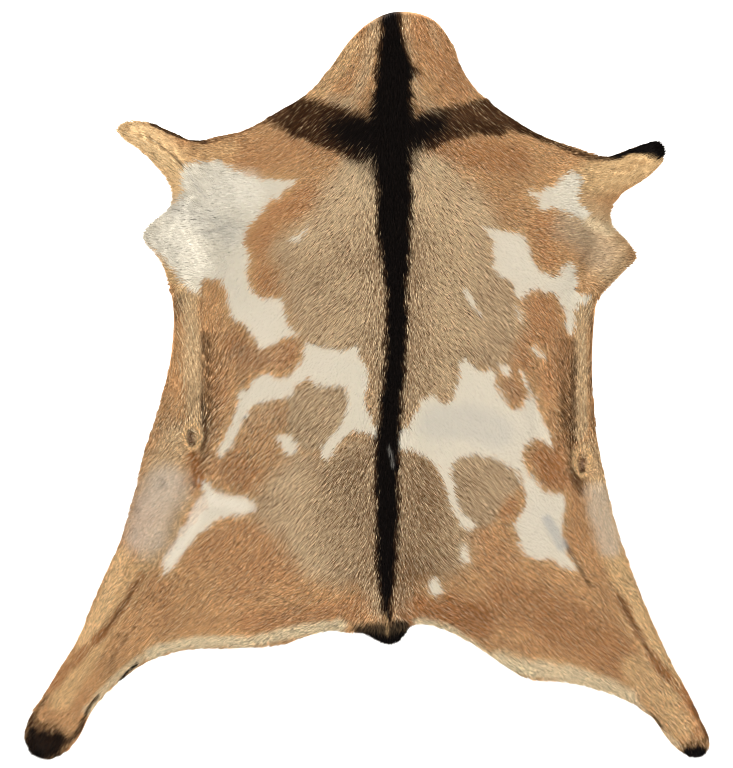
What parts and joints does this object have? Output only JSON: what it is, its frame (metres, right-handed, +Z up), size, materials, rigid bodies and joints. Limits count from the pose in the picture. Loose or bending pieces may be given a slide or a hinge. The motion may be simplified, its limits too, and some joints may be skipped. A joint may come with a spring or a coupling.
{
  "type": "goatskin",
  "caption": "Whole tanned goatskin laid flat with the hair on: dark back stripe and shoulder cross, fawn and white patches.",
  "frame": {"origin": "middle of the hide's box, on the surface that it lies on", "axes": "+Z up from the flesh side to the hair side; +Y from the hind legs to the neck; +X to the right seen from above"},
  "size_m": [0.8232, 0.9, 0.0127],
  "materials": {
    "hair_coat": "matt short hair"
  },
  "bodies": {
    "root": {"goatskin": "hair_coat"}
  },
  "joints": []
}
